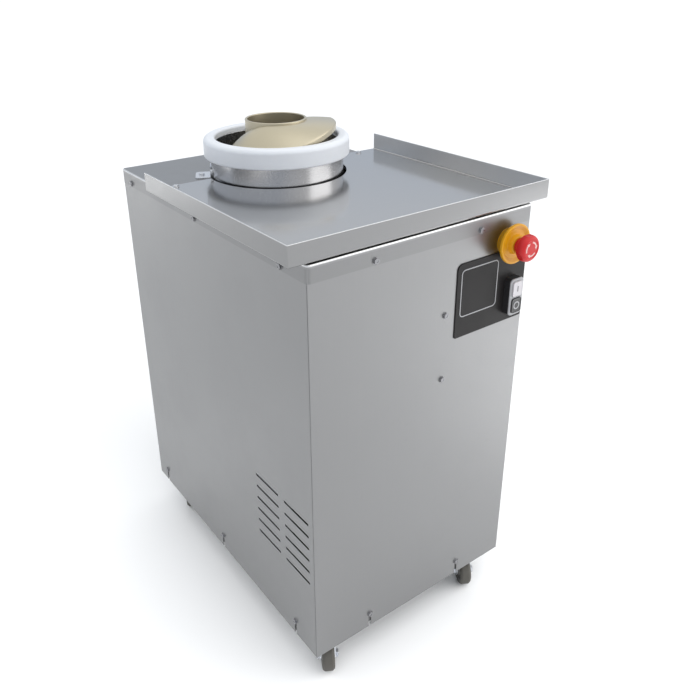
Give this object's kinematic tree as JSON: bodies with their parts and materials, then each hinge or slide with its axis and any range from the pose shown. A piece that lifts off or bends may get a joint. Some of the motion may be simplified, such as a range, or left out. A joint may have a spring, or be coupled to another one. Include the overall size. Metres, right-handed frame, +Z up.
{
  "type": "dough rolling machine",
  "caption": "Stainless floor-standing dough ball rounder: an auger turns in a fixed drum and rolls dough up a helical channel onto a lipped tray, on swivel casters.",
  "frame": {"origin": "on the floor under the middle of the whole machine", "axes": "+X to the machine's right seen from the front, +Y from front to back, +Z up"},
  "size_m": [0.456, 0.621, 0.8025],
  "materials": {
    "panel_steel": "satin",
    "tray_steel": "bright",
    "frame_steel": "mill",
    "drum_steel": "polished",
    "ring_white": "satin",
    "auger_champagne": "satin anodised",
    "plated_steel": "zinc plated",
    "motor_paint": "semi-gloss",
    "control_dark": "satin",
    "block_grey": "matt",
    "estop_yellow": "gloss",
    "estop_red": "gloss",
    "button_white": "gloss",
    "button_black": "gloss",
    "wheel_rubber": "matt"
  },
  "bodies": {
    "cabinet": {"front_panel": "panel_steel", "back_panel": "panel_steel", "left_panel": "panel_steel", "right_panel": "panel_steel", "top_deck": "panel_steel", "ball_tray": "tray_steel", "base_rails": "frame_steel", "upper_frame": "frame_steel", "caster_gussets": "frame_steel", "spindle_plate": "frame_steel", "drum": "drum_steel", "drum_ring": "ring_white", "tray_spacers": "plated_steel", "cabinet_screws": "plated_steel", "tray_screws": "plated_steel", "drum_clips": "plated_steel", "gearbox_bolts": "plated_steel", "contactor_bracket": "plated_steel", "caster_plates": "plated_steel", "gearbox": "motor_paint", "gear_motor": "motor_paint", "terminal_box": "motor_paint", "terminal_lid": "motor_paint", "control_plate": "control_dark", "switch_housing": "control_dark", "cable_gland": "control_dark", "estop_contacts": "block_grey", "switch_contacts": "block_grey", "contactor": "block_grey", "estop_collar": "estop_yellow"},
    "spindle": {"spindle": "plated_steel"},
    "auger": {"auger": "auger_champagne"},
    "estop_stem": {"estop_stem": "control_dark"},
    "estop_head": {"estop_head": "estop_red"},
    "start_button": {"start_button": "button_white"},
    "stop_button": {"stop_button": "button_black"},
    "front_left_swivel": {"front_left_fork": "plated_steel"},
    "front_left_wheel": {"front_left_wheel": "wheel_rubber"},
    "front_right_swivel": {"front_right_fork": "plated_steel"},
    "front_right_wheel": {"front_right_wheel": "wheel_rubber"},
    "rear_left_swivel": {"rear_left_fork": "plated_steel"},
    "rear_left_wheel": {"rear_left_wheel": "wheel_rubber"},
    "rear_right_swivel": {"rear_right_fork": "plated_steel"},
    "rear_right_wheel": {"rear_right_wheel": "wheel_rubber"}
  },
  "joints": [
    {"name": "auger_spin", "type": "hinge", "parent": "cabinet", "child": "spindle", "pos_m": [0, 0.114, 0.56], "axis": [0, 0, 1], "continuous": true},
    {"name": "auger_lift", "type": "slide", "parent": "spindle", "child": "auger", "axis": [0, 0, 1], "range_m": [0, 0.26]},
    {"name": "estop_push", "type": "slide", "parent": "cabinet", "child": "estop_stem", "axis": [0, 1, 0], "range_m": [0, 0.0045]},
    {"name": "estop_twist", "type": "hinge", "parent": "estop_stem", "child": "estop_head", "pos_m": [0.152, -0.29, 0.662], "axis": [0, 1, 0], "range_deg": [0, 35], "stiffness_Nm_per_rad": 0.05},
    {"name": "start_push", "type": "slide", "parent": "cabinet", "child": "start_button", "axis": [0, 1, 0], "range_m": [0, 0.003], "stiffness_N_per_m": 800},
    {"name": "stop_push", "type": "slide", "parent": "cabinet", "child": "stop_button", "axis": [0, 1, 0], "range_m": [0, 0.003], "stiffness_N_per_m": 800},
    {"name": "front_left_swivel", "type": "hinge", "parent": "cabinet", "child": "front_left_swivel", "pos_m": [-0.151, -0.221, 0.058], "axis": [0, 0, 1], "continuous": true},
    {"name": "front_left_roll", "type": "hinge", "parent": "front_left_swivel", "child": "front_left_wheel", "pos_m": [-0.164, -0.24352, 0.025], "axis": [0.866, -0.5, 0], "continuous": true},
    {"name": "front_right_swivel", "type": "hinge", "parent": "cabinet", "child": "front_right_swivel", "pos_m": [0.151, -0.221, 0.058], "axis": [0, 0, 1], "continuous": true},
    {"name": "front_right_roll", "type": "hinge", "parent": "front_right_swivel", "child": "front_right_wheel", "pos_m": [0.138, -0.24352, 0.025], "axis": [0.866, -0.5, 0], "continuous": true},
    {"name": "rear_left_swivel", "type": "hinge", "parent": "cabinet", "child": "rear_left_swivel", "pos_m": [-0.151, 0.264, 0.058], "axis": [0, 0, 1], "continuous": true},
    {"name": "rear_left_roll", "type": "hinge", "parent": "rear_left_swivel", "child": "rear_left_wheel", "pos_m": [-0.164, 0.24148, 0.025], "axis": [0.866, -0.5, 0], "continuous": true},
    {"name": "rear_right_swivel", "type": "hinge", "parent": "cabinet", "child": "rear_right_swivel", "pos_m": [0.151, 0.264, 0.058], "axis": [0, 0, 1], "continuous": true},
    {"name": "rear_right_roll", "type": "hinge", "parent": "rear_right_swivel", "child": "rear_right_wheel", "pos_m": [0.138, 0.24148, 0.025], "axis": [0.866, -0.5, 0], "continuous": true}
  ]
}
